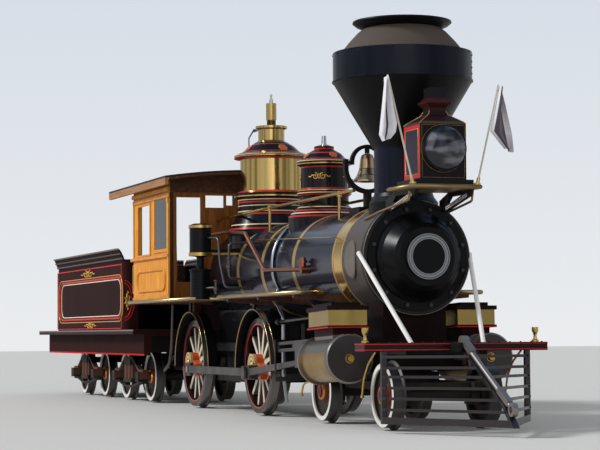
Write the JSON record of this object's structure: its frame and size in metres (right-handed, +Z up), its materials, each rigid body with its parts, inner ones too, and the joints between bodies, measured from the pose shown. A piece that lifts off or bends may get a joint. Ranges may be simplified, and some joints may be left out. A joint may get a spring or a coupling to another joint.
{
  "type": "narrow gauge 4-4-0 steam locomotive with tender",
  "caption": "Wood burning steam locomotive with coupled drivers, swinging leading truck, cab, bell and hinged tender on two trucks.",
  "frame": {"origin": "middle of the whole engine and tender, at the bottom of the wheel flanges, where it stands on a floor", "axes": "+X to the front of the engine, +Y to its left side, +Z up"},
  "size_m": [15.726, 2.4, 4.024],
  "materials": {
    "black_iron": "satin",
    "stack_black": "satin",
    "jacket_blue": "gloss",
    "smokebox_grey": "satin",
    "maroon": "gloss",
    "brass": "polished",
    "copper": "satin",
    "steel": "brushed",
    "varnished_wood": "gloss",
    "brown_wood": "satin",
    "wheel_white": "gloss",
    "white_paint": "gloss",
    "lamp_glass": "clear",
    "flag_cloth": "matte"
  },
  "bodies": {
    "engine": {"engine_frame": "black_iron", "pilot_beam": "maroon", "pilot": "black_iron", "draw_bar": "steel", "cylinders": "steel", "crosshead_guides": "steel", "boiler": "jacket_blue", "smokebox": "smokebox_grey", "smokebox_door": "black_iron", "stack": "stack_black", "sand_dome": "maroon", "steam_dome": "brass", "safety_valves": "brass", "bell_stand": "black_iron", "headlight_bracket": "black_iron", "headlight": "maroon", "headlight_lens": "lamp_glass", "flag_staffs": "brown_wood", "flag_right": "flag_cloth", "flag_left": "flag_cloth", "running_boards": "brown_wood", "splashers": "black_iron", "cab_deck": "brown_wood", "cab_walls": "varnished_wood", "cab_roof": "brown_wood", "air_pump": "black_iron", "handrails": "brass", "braces": "white_paint", "feed_pipes": "copper", "valve_rods": "steel"},
    "bell": {"bell": "brass"},
    "lead_truck": {"lead_truck_frame": "black_iron"},
    "lead_front_axle": {"lead_wheels_front": "white_paint"},
    "lead_rear_axle": {"lead_wheels_rear": "white_paint"},
    "main_drivers": {"main_driver_wheels": "wheel_white"},
    "rear_drivers": {"rear_driver_wheels": "wheel_white"},
    "tender": {"tender_frame": "maroon", "tender_tank": "maroon", "tender_boards": "maroon"},
    "side_rod_right": {"side_rod_right": "steel"},
    "crosshead_right": {"crosshead_right": "steel"},
    "main_rod_right": {"main_rod_right": "steel"},
    "side_rod_left": {"side_rod_left": "steel"},
    "crosshead_left": {"crosshead_left": "steel"},
    "main_rod_left": {"main_rod_left": "steel"},
    "tender_truck_1": {"tender_truck_frame_1": "black_iron"},
    "tender_axle_1_front": {"tender_wheels_1_front": "white_paint"},
    "tender_axle_1_rear": {"tender_wheels_1_rear": "white_paint"},
    "tender_truck_2": {"tender_truck_frame_2": "black_iron"},
    "tender_axle_2_front": {"tender_wheels_2_front": "white_paint"},
    "tender_axle_2_rear": {"tender_wheels_2_rear": "white_paint"}
  },
  "joints": [
    {"name": "main_driver_turn", "type": "hinge", "parent": "engine", "child": "main_drivers", "pos_m": [2.217, 0, 0.5594], "axis": [0, 1, 0], "continuous": true},
    {"name": "rear_driver_turn", "type": "hinge", "parent": "engine", "child": "rear_drivers", "pos_m": [-0.403, 0, 0.5594], "axis": [0, 1, 0], "continuous": true},
    {"name": "lead_truck_swing", "type": "hinge", "parent": "engine", "child": "lead_truck", "pos_m": [5.21, 0, 0.476], "axis": [0, 0, 1], "range_deg": [-3.5, 3.5]},
    {"name": "lead_front_turn", "type": "hinge", "parent": "lead_truck", "child": "lead_front_axle", "pos_m": [6.07, 0, 0.331], "axis": [0, 1, 0], "continuous": true},
    {"name": "lead_rear_turn", "type": "hinge", "parent": "lead_truck", "child": "lead_rear_axle", "pos_m": [4.35, 0, 0.331], "axis": [0, 1, 0], "continuous": true},
    {"name": "bell_swing", "type": "hinge", "parent": "engine", "child": "bell", "pos_m": [4.267, 0, 2.696], "axis": [0, 1, 0], "range_deg": [-45, 45]},
    {"name": "tender_swing", "type": "hinge", "parent": "engine", "child": "tender", "pos_m": [-0.983, 0, 0.666], "axis": [0, 0, 1], "range_deg": [-5, 5]},
    {"name": "side_rod_right_pin", "type": "hinge", "parent": "main_drivers", "child": "side_rod_right", "pos_m": [2.40768, -0.677, 0.48977], "axis": [0, 1, 0], "continuous": true},
    {"name": "crosshead_right_slide", "type": "slide", "parent": "engine", "child": "crosshead_right", "axis": [0.9994, 0, 0.0339], "range_m": [-0.3897, 0.0163]},
    {"name": "main_rod_right_pin", "type": "hinge", "parent": "crosshead_right", "child": "main_rod_right", "pos_m": [4.3025, -0.74, 0.63004], "axis": [0, 1, 0], "range_deg": [-3.84, 8.43]},
    {"name": "side_rod_left_pin", "type": "hinge", "parent": "main_drivers", "child": "side_rod_left", "pos_m": [2.14737, 0.677, 0.36872], "axis": [0, 1, 0], "continuous": true},
    {"name": "crosshead_left_slide", "type": "slide", "parent": "engine", "child": "crosshead_left", "axis": [0.9994, 0, 0.0339], "range_m": [-0.1176, 0.2884]},
    {"name": "main_rod_left_pin", "type": "hinge", "parent": "crosshead_left", "child": "main_rod_left", "pos_m": [4.03057, 0.74, 0.62083], "axis": [0, 1, 0], "range_deg": [-0.45, 11.82]},
    {"name": "tender_truck_1_swing", "type": "hinge", "parent": "tender", "child": "tender_truck_1", "pos_m": [-3.255, 0, 0.626], "axis": [0, 0, 1], "range_deg": [-6, 6]},
    {"name": "tender_axle_1_front_turn", "type": "hinge", "parent": "tender_truck_1", "child": "tender_axle_1_front", "pos_m": [-2.58, 0, 0.356], "axis": [0, 1, 0], "continuous": true},
    {"name": "tender_axle_1_rear_turn", "type": "hinge", "parent": "tender_truck_1", "child": "tender_axle_1_rear", "pos_m": [-3.93, 0, 0.356], "axis": [0, 1, 0], "continuous": true},
    {"name": "tender_truck_2_swing", "type": "hinge", "parent": "tender", "child": "tender_truck_2", "pos_m": [-5.921, 0, 0.626], "axis": [0, 0, 1], "range_deg": [-6, 6]},
    {"name": "tender_axle_2_front_turn", "type": "hinge", "parent": "tender_truck_2", "child": "tender_axle_2_front", "pos_m": [-5.246, 0, 0.356], "axis": [0, 1, 0], "continuous": true},
    {"name": "tender_axle_2_rear_turn", "type": "hinge", "parent": "tender_truck_2", "child": "tender_axle_2_rear", "pos_m": [-6.596, 0, 0.356], "axis": [0, 1, 0], "continuous": true}
  ],
  "couplings": [
    {"joint": "rear_driver_turn", "follows": "main_driver_turn", "ratio": 1},
    {"joint": "side_rod_right_pin", "follows": "main_driver_turn", "ratio": -1},
    {"joint": "side_rod_left_pin", "follows": "main_driver_turn", "ratio": -1}
  ]
}
